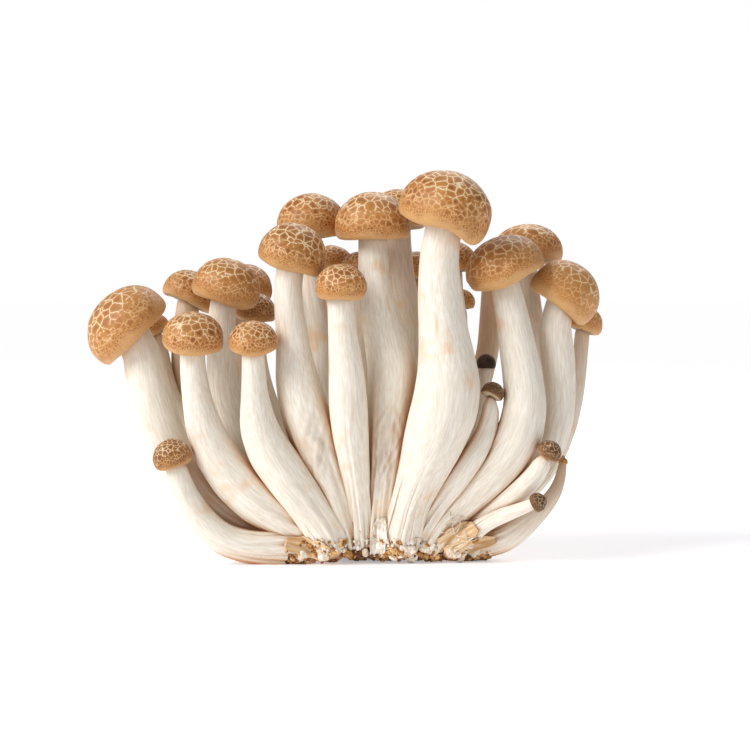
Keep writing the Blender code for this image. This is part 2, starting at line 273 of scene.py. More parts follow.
def cap_skin():
    """Cracked brown mushroom skin: satin, with a faint bloom and cream lines between plates."""
    material, tree, shader = new_material("mushroom_cap_skin")
    node = partial(add_node, tree)
    place = node("Attribute", {}, "Vector", attribute_name="skin_place")
    crown, worn, youth, lip = (
        node("Attribute", {}, "Fac", attribute_name=name) for name in ("crown", "worn", "youth", "lip")
    )
    wander = node("TexNoise", {"Vector": place, "Scale": 1 / (1.1 * MM), "Detail": 2.0}, "Color")
    moved = node("VectorMath", {0: wander, 1: (0.55 * MM,) * 3, 2: place}, operation="MULTIPLY_ADD")
    uneven = node("TexNoise", {"Vector": place, "Scale": 1 / (4 * MM), "Detail": 2.0}, "Fac")
    uneven = node("Math", {0: uneven, 1: 0.34}, operation="MULTIPLY")
    rubbed = node("Math", {0: worn, 1: 0.12}, operation="MULTIPLY")
    down = node("Math", {0: crown, 1: uneven}, operation="ADD")
    down = node("Math", {0: down, 1: rubbed}, operation="ADD")
    grain = node("TexNoise", {"Vector": place, "Scale": 1 / SKIN_GRAIN, "Detail": 3.0}, "Fac")
    rough = node("Math", {0: grain, 1: 0.10}, operation="MULTIPLY")
    frayed = node("Math", {0: crack_gap(node, down, moved), 1: rough}, operation="ADD")
    crack = node("MapRange", {0: frayed, 1: 0.06, 2: 0.13, 3: 1.0, 4: 0.0}, **SMOOTH)
    grown = node("MapRange", {0: youth, 1: 0.3, 2: 1.2, 3: 1.0, 4: 0.1}, **SMOOTH)
    crack = node("Math", {0: crack, 1: grown}, operation="MULTIPLY")
    plate = plate_colour(node, place, moved, frayed, worn, youth)
    lower = node("MapRange", {0: down, 1: 0.4, 2: 1.0}, **SMOOTH)
    pale = node("Mix", {0: lower, 6: linear("#f0d9b4"), 7: linear("#d8a56a")}, 2, **COLOURS)
    marbled = node("Mix", {0: crack, 6: plate, 7: pale}, 2, **COLOURS)
    band = node("Mix", {0: grain, 6: linear("#c48d50"), 7: linear("#dfb37c")}, 2, **COLOURS)
    rim = node("MapRange", {0: down, 1: 0.96, 2: 1.14}, **SMOOTH)
    rim = node("Math", {0: rim, 1: youth}, operation="SUBTRACT")
    colour = node("Mix", {0: rim, 6: marbled, 7: band}, 2, **COLOURS)
    edge = node("MapRange", {0: lip, 1: 0.5, 2: 1.0}, **SMOOTH)
    colour = node("Mix", {0: edge, 6: colour, 7: linear("#e6c69a")}, 2, **COLOURS)
    sunk = node("Math", {0: crack, 1: -0.6}, operation="MULTIPLY")
    height = node("Math", {0: sunk, 1: grain}, operation="ADD")
    relief = node("Bump", {"Strength": 0.35, "Distance": 0.12 * MM, "Height": height})
    set_inputs(tree, shader, {
        "Base Color": colour, "Normal": relief, "Roughness": 0.5, "Specular IOR Level": 0.4,
        "Subsurface Weight": 0.12, "Subsurface Radius": (1.0, 0.45, 0.2),
        "Subsurface Scale": 0.8 * MM,
        "Sheen Weight": 0.12, "Sheen Roughness": 0.35, "Sheen Tint": linear("#e8dccd"),
    })
    return material


cap_skin_material = cap_skin()
print("cap skin has", len(cap_skin_material.node_tree.nodes), "nodes")

# %% [markdown]
# ## Stem flesh
# A stem is a bundle of long white threads under a thin skin. Light enters it and scatters a
# little. The warm orange in the folds between two stems is painted shade: an occlusion node tints
# the colour where stems crowd each other. Threads run along the stem, so their pattern reads a
# place that the mesh stores as if the stem were straight, and is drawn out along it. The real
# threads are finer than 0.1 mm, which would not show, so they are drawn at about 0.4 mm.

# %% Stem flesh
FIBRE, STRAND, STAIN = 0.36 * MM, 1.6 * MM, 9 * MM
DRAWN_OUT = 0.1  # threads are ten times as long as they are wide


def stem_flesh():
    """Fibrous cream flesh: matt, a little translucent, with painted shade in folds and at the back."""
    material, tree, shader = new_material("mushroom_stem_flesh")
    node = partial(add_node, tree)
    straight = node("Attribute", {}, "Vector", attribute_name="straight")
    scar, tan = (node("Attribute", {}, "Fac", attribute_name=name) for name in ("scar", "tan"))
    drawn_out = node("Mapping", {"Vector": straight, "Scale": (1, 1, DRAWN_OUT)})
    fibre = node("TexNoise", {"Vector": drawn_out, "Scale": 1 / FIBRE, "Detail": 4.0}, "Fac")
    strand = node("TexNoise", {"Vector": drawn_out, "Scale": 1 / STRAND, "Detail": 3.0}, "Fac")
    cloud = node("TexNoise", {"Vector": straight, "Scale": 1 / STAIN, "Detail": 3.0}, "Fac")
    threads = node("MapRange", {0: fibre, 1: 0.3, 2: 0.7}, **SMOOTH)
    colour = node("Mix", {0: threads, 6: linear("#e6dccb"), 7: linear("#f7f0e4")}, 2, **COLOURS)
    # painted shade: occlusion within 5 mm marks where stems crowd each other
    folds = node("AmbientOcclusion", {"Distance": 5 * MM}, "AO", samples=8)
    for value, low, high, to_low, to_high, tone in (
        (strand, 0.62, 0.8, 0.0, 0.55, "#e2bf96"),
        (cloud, 0.57, 0.74, 0.0, 0.6, "#e8bd8c"),
        (scar, 0.1, 1.0, 0.0, 0.5, "#d9cbbb"),
        # tan: dried tan on some upper ends, and painted shade on stems at the back
        (tan, None, None, None, None, "#b5854c"),
        # painted shade: warm tan in the folds between stems, orange in the deepest ones
        (folds, 0.2, 0.95, 0.55, 0.0, "#d8b48c"),
        (folds, 0.02, 0.5, 0.9, 0.0, "#b8763a"),
    ):
        if low is not None:
            value = node("MapRange", {0: value, 1: low, 2: high, 3: to_low, 4: to_high}, **SMOOTH)
        colour = node("Mix", {0: value, 6: colour, 7: linear(tone)}, 2, **COLOURS)
    height = node("Math", {0: fibre, 1: strand}, operation="ADD")
    relief = node("Bump", {"Strength": 0.5, "Distance": 0.15 * MM, "Height": height})
    set_inputs(tree, shader, {
        "Base Color": colour, "Normal": relief, "Roughness": 0.6, "Specular IOR Level": 0.3,
        "Subsurface Weight": 0.1, "Subsurface Radius": (1.0, 0.7, 0.45),
        "Subsurface Scale": 1.0 * MM,
    })
    return material


def gill_flesh():
    """Thin cream blades under a cap: matt, with light passing through them."""
    material, tree, shader = new_material("mushroom_gill_flesh")
    place = add_node(tree, "TexCoord", {}, "Object")
    speck = add_node(tree, "TexNoise", {"Vector": place, "Scale": 1 / (0.6 * MM), "Detail": 3.0}, "Fac")
    colour = add_node(tree, "Mix", {0: speck, 6: linear("#d9b98e"), 7: linear("#efdcc0")}, 2, **COLOURS)
    set_inputs(tree, shader, {
        "Base Color": colour, "Roughness": 0.7,
        "Subsurface Weight": 0.2, "Subsurface Radius": (1.0, 0.5, 0.22),
        "Subsurface Scale": 1.0 * MM,
    })
    return material


stem_flesh_material = stem_flesh()
gill_flesh_material = gill_flesh()
print("stem flesh has", len(stem_flesh_material.node_tree.nodes), "nodes")

# %% [markdown]
# ## Helpers for meshes
# New pieces end as ordinary objects at the origin. The numbers that the materials read are stored
# on the mesh's points.

# %% Mesh helpers
SEAM = 0.00002  # points closer than this, in metres, are one point


def add_piece(name, mesh, material, replaced=()):
    """A finished piece that rides on the cluster's only body."""
    mesh.materials.append(material)
    mesh.shade_smooth()
    piece = bpy.data.objects.new(name, mesh)
    bpy.context.scene.collection.objects.link(piece)
    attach(piece, "root")
    if replaced:
        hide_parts(*replaced)
    return piece


def mesh_from(shape, name):
    mesh = bpy.data.meshes.new(name)
    shape.to_mesh(mesh)
    shape.free()
    return mesh


@contextmanager
def reshaping(mesh):
    """The mesh as a bmesh that operators can shape. It is written back at the end."""
    shape = bmesh.new()
    shape.from_mesh(mesh)
    yield shape
    shape.to_mesh(mesh)
    shape.free()


def welded(mesh, closed=False):
    """Joins the two sides of a seam and the points of a pole, and turns the faces outwards."""
    with reshaping(mesh) as shape:
        bmesh.ops.remove_doubles(shape, verts=shape.verts, dist=SEAM)
        if closed:
            bmesh.ops.holes_fill(shape, edges=shape.edges, sides=0)
        bmesh.ops.recalc_face_normals(shape, faces=shape.faces)


# %% Helpers for points
def points_of(mesh):
    flat = np.empty(len(mesh.vertices) * 3, np.float32)
    mesh.vertices.foreach_get("co", flat)
    return flat.reshape(-1, 3).astype(float)


def move_points(mesh, points):
    mesh.vertices.foreach_set("co", points.astype(np.float32).ravel())
    mesh.update()


def store(mesh, name, values, kind="FLOAT"):
    """Keeps one number, or one vector, for every point of the mesh."""
    attribute = mesh.attributes.new(name, kind, "POINT")
    field = "vector" if kind == "FLOAT_VECTOR" else "value"
    attribute.data.foreach_set(field, np.asarray(values, np.float32).ravel())


def merged_points(node):
    """The different corners of a CAD solid, whose triangles each hold their own."""
    return np.unique(points_of(frame["nodes"][node].data).round(6), axis=0)


def inside_cluster(points, margin=0.02 * MM):
    return np.clip(points, cluster_low + margin, cluster_high - margin)


def unit(rows):
    """Each row as a vector of length one."""
    return rows / np.linalg.norm(rows, axis=1)[:, None]


def waves(angle, count_range, strength, height=0.0, twist=0.0):
    """A sum of random waves round a piece, so that no piece is perfectly round."""
    total = np.zeros_like(angle)
    for count in count_range:
        phase = chance.uniform(0, FULL_TURN)
        drift = twist * math.sin(phase) * height
        total += strength / count * np.cos(count * angle + phase + drift)
    return total


print("the foot's solid has", len(merged_points("foot_clump")), "corners")

# %% [markdown]
# ## Where each cap sits
# A cap's solid is the same all the way round, so its points spread equally in two directions and
# less along its axis. The smallest spread of their covariance is that axis, and the end where
# the points reach the axis is the crown.

# %% Measure the caps
SETTLED = {  # small shifts in mm, and a swelling, that bring the soft caps closer together
    "cap_03": ((0, 0, -0.5), 1.02),
    "cap_04": ((0.2, 0, -0.8), 1.0),
    "cap_08": ((-0.4, 0, -1.1), 1.04),
    "cap_09": ((0.4, 0, -0.8), 1.0),
    "cap_10": ((0, 0, -0.6), 1.0),
    "cap_12": ((-0.3, 0, 0), 1.02),
    "cap_14": ((1.3, 0, -1.2), 1.0),
    "cap_15": ((1.2, 0, -0.6), 1.02),
    "cap_24": ((0.4, 0, -0.6), 1.1),
}


def measure_cap(node):
    """The middle of the rim, the axis, the radius and the height of a cap."""
    points = merged_points(node)
    middle = points.mean(axis=0)
    spread, directions = np.linalg.eigh(np.cov((points - middle).T))
    axis = directions[:, np.argmin(spread)]
    along = (points - middle) @ axis
    sideways = np.linalg.norm(points - middle - np.outer(along, axis), axis=1)
    if sideways[along.argmax()] > sideways[along.argmin()]:
        axis, along = -axis, -along
    height = along.max() - along.min()
    return middle + axis * along.min(), axis, sideways.max(), height


def settled(name):
    middle, axis, radius, height = measure_cap(name)
    shift, swelling = SETTLED.get(name, ((0, 0, 0), 1.0))
    return middle + np.array(shift) * MM, axis, radius * swelling, height * swelling


caps = {name: settled(name) for name in sorted(frame["nodes"]) if name.startswith("cap_")}
widest = max(caps, key=lambda name: caps[name][2])
print(len(caps), "caps, the widest is", widest, round(2 * caps[widest][2] / MM, 1), "mm across")

# %% [markdown]
# ## The turned cap
# A cap is a dome that tucks in under its widest place and ends in a thin lip. Sculpting or a
# subdivided sphere would do, but a spin keeps the lip crisp and gives even rings.

# %% The turned cap
SPIN_STEPS = 112
DOME_POINTS = 26
TUCK_POINTS = 10
WIDEST_AT = 0.24  # height of the widest place, as a share of the cap's height
TUCKED = 0.15  # how far the lip lies inside the widest place, as a share of the radius
LIP = 1 - TUCKED  # radius of the lip
DOME_FULLNESS = 0.92  # under 1 the dome is fuller than an ellipse


def cap_outline():
    """Radius and height of the cap from crown to lip, as shares of its own size."""
    outline = []
    for share in np.linspace(0, 1, DOME_POINTS):
        turn = share * math.pi / 2
        outline.append((math.sin(turn), WIDEST_AT + (1 - WIDEST_AT) * math.cos(turn) ** DOME_FULLNESS))
    for share in np.linspace(0, 1, TUCK_POINTS)[1:]:
        turn = share * math.pi / 2
        outline.append((1 - TUCKED * (1 - math.cos(turn)), WIDEST_AT * (1 - math.sin(turn))))
    outline += [(0.97 * LIP, 0.015), (0.94 * LIP, 0.06)]
    outline += [(0.6, 0.20), (0.3, 0.24), (0, 0.25)]
    return outline


def spun(outline):
    """A closed turned body, one unit wide and tall."""
    shape = bmesh.new()
    verts = [shape.verts.new((across, 0, up)) for across, up in outline]
    edges = [shape.edges.new(pair) for pair in zip(verts, verts[1:])]
    bmesh.ops.spin(
        shape, geom=verts + edges, cent=(0, 0, 0), axis=(0, 0, 1), dvec=(0, 0, 0),
        angle=FULL_TURN, steps=SPIN_STEPS, use_merge=True, use_duplicate=False,
    )
    bmesh.ops.remove_doubles(shape, verts=shape.verts, dist=1e-6)
    bmesh.ops.recalc_face_normals(shape, faces=shape.faces)
    return shape


print("a cap's outline has", len(cap_outline()), "points")

# %% [markdown]
# ## Caps
# No cap is perfectly round, and the lip of an old one droops. So the points of the turned body
# move a little before the cap is put on its axis. Each cap also gets its own age: a young one is
# dark and hardly cracked, and a worn one is tan.

# %% Caps
DROOPS = {"cap_12": (-40, 0.20), "cap_16": (200, 0.10), "cap_01": (-30, 0.05)}  # degrees, depth
WORN = {"cap_16": 0.6, "cap_14": 0.4, "cap_01": 0.35, "cap_05": 0.4, "cap_17": 0.5}
YOUNG = {
    "cap_02": 0.35, "cap_18": 0.75, "cap_20": 0.7,
    "cap_08": 0.12, "cap_27": 0.2, "cap_23": 0.3,
}
UNDERSIDE = 1.4  # what the crown attribute says below the lip, where no crack shows
CAP_WIDTH, CAP_HEIGHT = 0.975, 0.985  # keep an uneven cap inside the size of its solid
USUAL_RADIUS = 9 * MM  # a cap of this size carries plates of the full size


def cap_marks(points):
    """How far down the dome each point lies, and what the skin reads there."""
    outward = np.hypot(points[:, 0], points[:, 1])
    low = np.clip(1 - points[:, 2], 0, 1)
    under = (points[:, 2] < WIDEST_AT) & (outward < 0.98 * LIP)
    lip = np.exp(-(((outward - LIP) / 0.03) ** 2)) * (points[:, 2] < 0.05)
    return low, np.where(under, UNDERSIDE, low), lip


def uneven_cap(name, points, low):
    """The unit cap with an uneven round, dents, a wavy rim and a drooping lip."""
    angle = np.arctan2(points[:, 1], points[:, 0])
    outward = np.hypot(points[:, 0], points[:, 1])
    wobble = 1 + waves(angle, range(2, 6), 0.022)
    dented = 1 + waves(3 * points[:, 2] + angle, range(2, 5), 0.012)
    points[:, :2] *= (wobble * CAP_WIDTH)[:, None]
    points *= dented[:, None]
    points[:, 2] += 0.05 * low**3 * waves(angle, range(2, 5), 1.0)
    if name in DROOPS:
        turn, depth = DROOPS[name]
        away = np.angle(np.exp(1j * (angle - math.radians(turn))))
        rim_part = np.clip(low - 0.45, 0, 1) * 1.8
        points[:, 2] -= depth * np.exp(-((away / 0.55) ** 2)) * rim_part * outward
    return points


def build_cap(name):
    middle, axis, radius, height = caps[name]
    mesh = mesh_from(spun(cap_outline()), name + "_skin")
    points = points_of(mesh)
    low, crown, lip = cap_marks(points)
    points = uneven_cap(name, points, low)
    right = np.array([1.0, 0, 0]) - axis * axis[0]
    right /= np.linalg.norm(right)
    back = np.cross(axis, right)
    placed = middle + radius * (np.outer(points[:, 0], right) + np.outer(points[:, 1], back))
    placed = placed + height * np.outer(points[:, 2] * CAP_HEIGHT, axis)
    move_points(mesh, inside_cluster(placed))
    store(mesh, "crown", crown)
    store(mesh, "lip", lip)
    cell = np.clip(radius / USUAL_RADIUS, 0.45, 1.05)
    store(mesh, "skin_place", placed / cell, "FLOAT_VECTOR")
    store(mesh, "worn", np.full(len(points), WORN.get(name, 0.1)))
    store(mesh, "youth", np.full(len(points), YOUNG.get(name, 0.0) + chance.uniform(0, 0.08)))
    replaced = [name] if name in frame["nodes"] else []
    return add_piece(name + "_skin", mesh, cap_skin_material, replaced)


for name in caps:
    build_cap(name)
print(len(caps), "caps done")

# %% [markdown]
# ## Gills
# Under a cap, thin blades run from the stem to the lip. Modelled one by one they would be
# thousands of sheets, so one ring of surface is folded into blades: a grid wrapped round the
# axis, whose points go up and down as they go round.

# %% Gills
GILLS = 64
POINTS_A_GILL = 4
GILL_ROWS = 6
INNER_END, OUTER_END = 0.2, 0.93 * LIP  # where a blade starts and ends, of the radius
GILL_WALL = 0.1 * MM


def wrapped_grid(columns, rows):
    """A flat grid, and the share round and along that each of its points stands for."""
    shape = bmesh.new()
    bmesh.ops.create_grid(shape, x_segments=columns, y_segments=rows - 1, size=0.5)
    mesh = mesh_from(shape, "wrapped")
    shares = points_of(mesh)[:, :2] + 0.5
    return mesh, shares[:, 0], shares[:, 1]


def build_gills(name):
    middle, axis, radius, height = caps[name]
    mesh, round_share, out_share = wrapped_grid(GILLS * POINTS_A_GILL, GILL_ROWS)
    angle = FULL_TURN * round_share
    reach = radius * (INNER_END + (OUTER_END - INNER_END) * out_share)
    blade = 0.5 + 0.5 * np.cos(GILLS * angle)
    ceiling = 0.17 - 0.11 * out_share**2
    up = height * (ceiling - 0.10 * blade * np.sin(math.pi * np.clip(out_share, 0.05, 0.95)))
    right = np.array(Vector(axis).orthogonal().normalized())
    back = np.cross(axis, right)
    placed = middle + np.outer(reach * np.cos(angle), right) + np.outer(reach * np.sin(angle), back)
    move_points(mesh, inside_cluster(placed + np.outer(up, axis)))
    welded(mesh)
    with reshaping(mesh) as shape:
        bmesh.ops.solidify(shape, geom=shape.faces, thickness=GILL_WALL)
    return add_piece(name.replace("cap", "gills"), mesh, gill_flesh_material)


for name in caps:
    build_gills(name)
print("gills done,", GILLS, "blades a cap")

# %% [markdown]
# ## Following a stem
# A stem's solid has few corners, but it holds the stem's true path. The script walks down inside
# it: at each step rays go out sideways, their lengths give the stem's reach all round, and their
# middle is the next place to stand on. Where the walk leaves the solid, the stem ends.

# %% Rays from inside a stem
RAYS = 48
ray_turns = np.linspace(0, FULL_TURN, RAYS, endpoint=False)


def solid_tree(node):
    mesh = frame["nodes"][node].data
    return BVHTree.FromPolygons([v.co for v in mesh.vertices], [p.vertices for p in mesh.polygons])


def reach_around(tree, centre, side, other):
    """How far the solid reaches from the centre in each direction, or None outside it."""
    found = []
    for turn in ray_turns:
        way = side * math.cos(turn) + other * math.sin(turn)
        hit, normal, _, far = tree.ray_cast(centre, way)
        if hit is None or normal.dot(way) < 0:
            return None
        found.append(far)
    return np.array(found)


def way_to_middle(reach, side, other):
    """From the centre to the middle of what the rays reach, which is a fan of thin triangles."""
    area = 1.5 * (reach**2).sum()
    along_side = float((reach**3 * np.cos(ray_turns)).sum() / area)
    along_other = float((reach**3 * np.sin(ray_turns)).sum() / area)
    return side * along_side + other * along_other


print(RAYS, "rays a step")

# %% Walk down the stems
PACE = 0.8 * MM
MOST_STEPS = 300
START_PACES = 5  # how far below its start a walk may look for the inside
LOOK_BACK = 4  # steps that show where the stem is going
STEADY = 0.6  # how much of its old heading a step keeps
END_GAP = 1.2 * PACE  # a walk ends this close to the end of the solid


def walk(node, start, heading):
    """Centres, sideways directions and reaches from one end of a stem to the other."""
    tree = solid_tree(node)
    centre, heading = Vector(start), Vector(heading).normalized()
    side = (Vector((0, 1, 0)) - heading * heading.y).normalized()
    steps = []
    while len(steps) < MOST_STEPS:
        side = (side - heading * side.dot(heading)).normalized()
        other = heading.cross(side)
        reach = reach_around(tree, centre, side, other)
        if reach is None and not steps and (centre - Vector(start)).length < START_PACES * PACE:
            centre = centre + heading * PACE
            continue
        if reach is None:
            break
        shift = way_to_middle(reach, side, other)
        moved = reach_around(tree, centre + shift, side, other)
        if moved is not None:
            centre, reach = centre + shift, moved
        steps.append((np.array(centre), np.array(side), np.array(other), reach))
        if len(steps) > LOOK_BACK:
            recent = Vector(steps[-1][0] - steps[-1 - LOOK_BACK][0]).normalized()
            heading = (heading * STEADY + recent * (1 - STEADY)).normalized()
        ahead = tree.ray_cast(centre, heading)
        if ahead[0] is None or ahead[3] < END_GAP:
            break
        centre = centre + heading * PACE
    return [np.array(part) for part in zip(*steps)]


def top_of(name):
    """Where a stem's upper end is, and the way down from it."""
    cap = name.replace("stem", "cap")
    if cap in caps:
        middle, axis, _, height = caps[cap]
        return middle + axis * 0.2 * height, -axis
    points = merged_points(name)
    points = points[points[:, 2].argsort()[::-1]]
    tip, below = points[:10].mean(axis=0), points[10:30].mean(axis=0)
    down = (below - tip) / np.linalg.norm(below - tip)
    return tip + down * 0.4 * MM, down


stem_names = [name for name in sorted(frame["nodes"]) if name.startswith(("stem_", "pin_"))]
walks = {name: walk(name, *top_of(name)) for name in stem_names}
for name in stem_names:
    centres = walks[name][0]
    length = np.linalg.norm(np.diff(centres, axis=0), axis=1).sum()
    print(name, len(centres), "steps,", round(length / MM, 1), "mm")

# %% [markdown]
# ## Roots
# On the real cluster nobody sees where one stem ends: all of them melt into one white mass that
# sinks into the crumbs. So each path goes on a few millimetres into the foot, and its narrowed
# end is opened out again.

# %% Carry the paths into the foot
SUNK = 1.6 * MM  # how high over the table a sunk path ends
NARROWED_END = 9  # steps whose reach the solid narrows
MOST_ADDED = 9  # steps that a path may go on
LEAST_FALL = 0.35  # how far a root goes down in one pace, as a share of the pace


def rooted(path):
    """The path with its narrow end opened out and carried down into the foot."""
    centres, sides, others, reach = path
    reach = reach.copy()
    full = reach[-NARROWED_END - 3 : -NARROWED_END].mean(axis=0)
    reach[-NARROWED_END:] = full
    heading = centres[-1] - centres[-6]
    heading = heading / np.linalg.norm(heading) * PACE
    heading[2] = min(heading[2], -LEAST_FALL * PACE)
    extra = int(max(0, (centres[-1][2] - SUNK) // -heading[2]))
    extra = min(extra, MOST_ADDED)
    grown = centres[-1] + heading * np.arange(1, extra + 1)[:, None]
    again = (sides[-1:].repeat(extra, 0), others[-1:].repeat(extra, 0), reach[-1:].repeat(extra, 0))
    parts = zip((centres, sides, others, reach), (grown, *again))
    return [np.vstack(pair) for pair in parts]


walks = {name: rooted(path) for name, path in walks.items()}
print("stem_12 now ends at", (walks["stem_12"][0][-1] / MM).round(1))

# %% [markdown]
# ## Stems
# The reach that the walk found still shows the solid's flat sides. Leaving out its fast changes
# round and along the stem makes it smooth again. The skin is a grid wrapped round the path.

# %% The smooth stem
COLUMNS = 80
KEPT_WAVES = 6
PATH_EASING, REACH_EASING = 14, 8
FULLER, CLOSER = 1.015, 0.2 * MM  # stems that touch are drawn this much fuller, so no gap shows


def eased(values, times):
    """values with each row drawn towards its neighbours, the ends kept."""
    for _ in range(times):
        values = np.vstack([values[:1], (values[:-2] + 2 * values[1:-1] + values[2:]) / 4, values[-1:]])
    return values


def smooth_path(name):
    """The middle of the stem at each step, and the two directions across it."""
    centres, sides, others = (eased(part, PATH_EASING) for part in walks[name][:3])
    return centres, unit(sides), unit(others)


def full_reach(reach):
    """The reach without its fast changes, for COLUMNS directions."""
    spectrum = np.fft.rfft(eased(reach, REACH_EASING), axis=1)
    spectrum[:, KEPT_WAVES + 1 :] = 0
    spectrum = np.pad(spectrum, ((0, 0), (0, COLUMNS // 2 + 1 - spectrum.shape[1])))
    return np.fft.irfft(spectrum, COLUMNS, axis=1) * COLUMNS / RAYS * FULLER + CLOSER


print(COLUMNS, "columns round a stem")

# %% [markdown]
# ## Marks of growth
# A real stem is not a smooth tube. It swells towards the root, long furrows deepen there, and
# where two stems rubbed the skin is torn. A sculptor would cut these by hand. Here they are sums
# of waves that add to the reach or take from it, so every stem gets its own.

# %% Marks of growth
FURROW = 0.16 * MM
FOLDS = ((6, 1.0), (9, 0.8), (13, 0.5))  # how many folds go round, and how deep they are
SCARS = {"stem_08": (0.38, 0.13), "stem_10": (0.34, 0.12)}  # place and size along the stem
SCAR_WAVES = ((5, 1.4), (9, 0.9), (13, 0.6), (7, 1.9), (16, 0.5))  # count round, length in mm
SCAR_DEPTH = 0.3 * MM


def near_root(root):
    """0 on the upper third of a stem, easing to 1 near its root."""
    deep = np.clip((root - 0.35) / 0.6, 0, 1)
    return deep * deep * (3 - 2 * deep)


def furrowed(out, angle, up, deep):
    """The reach with fine lines everywhere and folds near the root."""
    fine = waves(angle, range(9, 34, 3), 8.0, up / (16 * MM), 1.2)
    out = out + FURROW * (0.12 + 0.5 * deep) * fine
    for count, depth in FOLDS:
        phase = chance.uniform(0, math.pi)
        bend = 0.5 * np.sin(up / (11 * MM) + 5 * phase)
        fold = np.abs(np.sin((count * angle + phase + bend) / 2))
        out = out - 3.4 * FURROW * depth * deep * (1 - fold) ** 3
    return out


def scar_mask(name, angle, along, side, other):
    """1 in the middle of a scar on the stem's front, 0 away from it."""
    if name not in SCARS:
        return np.zeros_like(angle)
    place, size = SCARS[name]
    front = math.atan2(-other[1], -side[1])
    away = np.angle(np.exp(1j * (angle - front)))
    return np.exp(-((away / 0.55) ** 2) - ((along - place) / size) ** 2)


def torn(angle, up):
    """Crossed waves that look like torn fibres."""
    return sum(
        np.sin(count * angle + chance.uniform(0, 6))
        * np.sin(up / (pitch * MM) + chance.uniform(0, 6) + angle)
        for count, pitch in SCAR_WAVES
    )


print(len(SCARS), "stems carry a scar")

# %% Stems
TAN_OUTSIDE = {"pin_right": 0.75, "stem_17": 0.3}  # upper ends that dried to tan
skins = {}


def build_stem(name):
    centres, sides, others = smooth_path(name)
    full = full_reach(walks[name][3])
    rows = len(centres)
    mesh, round_share, root = wrapped_grid(COLUMNS, rows)
    column = np.rint(round_share * COLUMNS).astype(int) % COLUMNS
    row = np.rint(root * (rows - 1)).astype(int)
    angle = FULL_TURN * round_share
    length = np.linalg.norm(np.diff(centres, axis=0), axis=1).sum()
    up = (1 - root) * length
    deep = near_root(root)
    mean = full.mean(axis=1)[row]
    out = full[row, column] * (1 + 0.10 * deep) + 0.5 * MM * deep
    out = furrowed(out, angle, up, deep)
    out = out + 0.035 * mean * waves(angle, range(1, 3), 1.0, up / (9 * MM), 2.0)
    scar = scar_mask(name, angle, 1 - root, sides[rows // 2], others[rows // 2])
    out = out + SCAR_DEPTH * scar * torn(angle, up) * np.minimum(1, mean / (3 * MM))
    if name.startswith("pin"):  # the button sits on a thinner neck
        out = out * (1 - 0.35 * np.exp(-((up - length) / (4 * MM)) ** 2))
    ends = np.minimum(1, np.minimum(root, 1 - root) * rows / 2.5)
    out = out * np.sqrt(np.clip(0.25 + 0.75 * ends, 0, 1))
    placed = centres[row]
    placed = placed + (out * np.cos(angle))[:, None] * sides[row]
    placed = placed + (out * np.sin(angle))[:, None] * others[row]
    placed = inside_cluster(placed)
    move_points(mesh, placed)
    skins[name] = (placed, row, column, centres)
    straight = np.stack([mean * np.cos(angle), mean * np.sin(angle), up], axis=1)
    straight += 40 * MM * stem_names.index(name)
    store(mesh, "straight", straight, "FLOAT_VECTOR")
    store(mesh, "scar", scar)
    # painted shade: stems further back get up to 0.6 of the tan tone, for the shade they lie in; the
    # ends in TAN_OUTSIDE are dried tan of their own
    behind = np.clip((centres[row][:, 1] - 2 * MM) / (10 * MM), 0, 1)
    outer = TAN_OUTSIDE.get(name, 0.0) * np.clip(1 - 1.6 * root, 0, 1)
    store(mesh, "tan", np.clip(0.6 * behind + outer, 0, 0.8))
    welded(mesh, closed=True)
    return add_piece(name + "_flesh", mesh, stem_flesh_material, [name])


for name in stem_names:
    build_stem(name)
print(len(stem_names), "stems done")

# %% [markdown]
# ## Strands
# Near the foot the stems were pressed together while they grew, and threads bridge them. What is
# left looks like flat strands that run up the stems and thin out. Each is a tapering tube that
# follows a stem's skin, half sunk into it.

# %% The path and shape of a strand
STRAND_SIDES, STRAND_RINGS = 10, 22


def skin_between(table, rows, columns):
    """The skin's points at places between its rows and columns."""
    low, left = np.floor(rows).astype(int), np.floor(columns).astype(int)
    part, over = (rows - low)[:, None], (columns - left)[:, None]
    last = len(table) - 1
    lower, upper = np.clip(low, 0, last), np.clip(low + 1, 0, last)
    left, right = left % COLUMNS, (left + 1) % COLUMNS
    path = (table[lower, left] * (1 - over) + table[lower, right] * over) * (1 - part)
    return path + (table[upper, left] * (1 - over) + table[upper, right] * over) * part


def strand_points(name, share_round, length, width):
    """A tapering tube along a stem's skin, from the root upwards."""
    placed, row, column, centres = skins[name]
    rows = len(centres)
    table = np.full((rows, COLUMNS, 3), np.nan)
    table[row, column] = placed
    climb = np.linspace(0, 1, STRAND_RINGS)
    rows_used = np.clip(rows - 3 - climb * length / PACE, 2, rows - 1)
    columns = (share_round + chance.uniform(-0.05, 0.05) * climb**2) * COLUMNS
    columns += 0.5 * np.sin(5 * climb + chance.uniform(0, 6))
    path = eased(skin_between(table, rows_used, columns), 2)
    along = unit(np.gradient(path, axis=0))
    out = unit(path - centres[np.floor(rows_used).astype(int)])
    out = unit(out - along * (out * along).sum(axis=1)[:, None])
    side = np.cross(along, out)
    taper = width * (1 - climb) ** 0.6 * (0.35 + 0.65 * np.minimum(1, climb * 6 + 0.3))
    flat = 0.42 + 0.1 * np.sin(7 * climb)
    turn = np.linspace(0, FULL_TURN, STRAND_SIDES, endpoint=False)[:, None]
    ring = side[:, None] * np.cos(turn) + out[:, None] * np.sin(turn) * flat[:, None, None]
    return path[:, None] + ring * taper[:, None, None]


print("a strand has", STRAND_RINGS, "rings of", STRAND_SIDES, "points")

# %% Strands
STRANDS_A_STEM = 9
FRONT_STEMS = (
    "stem_02", "stem_03", "stem_04", "stem_08", "stem_09", "stem_10", "stem_12",
    "stem_18", "stem_14", "stem_20", "pin_front", "stem_16", "stem_01",
)


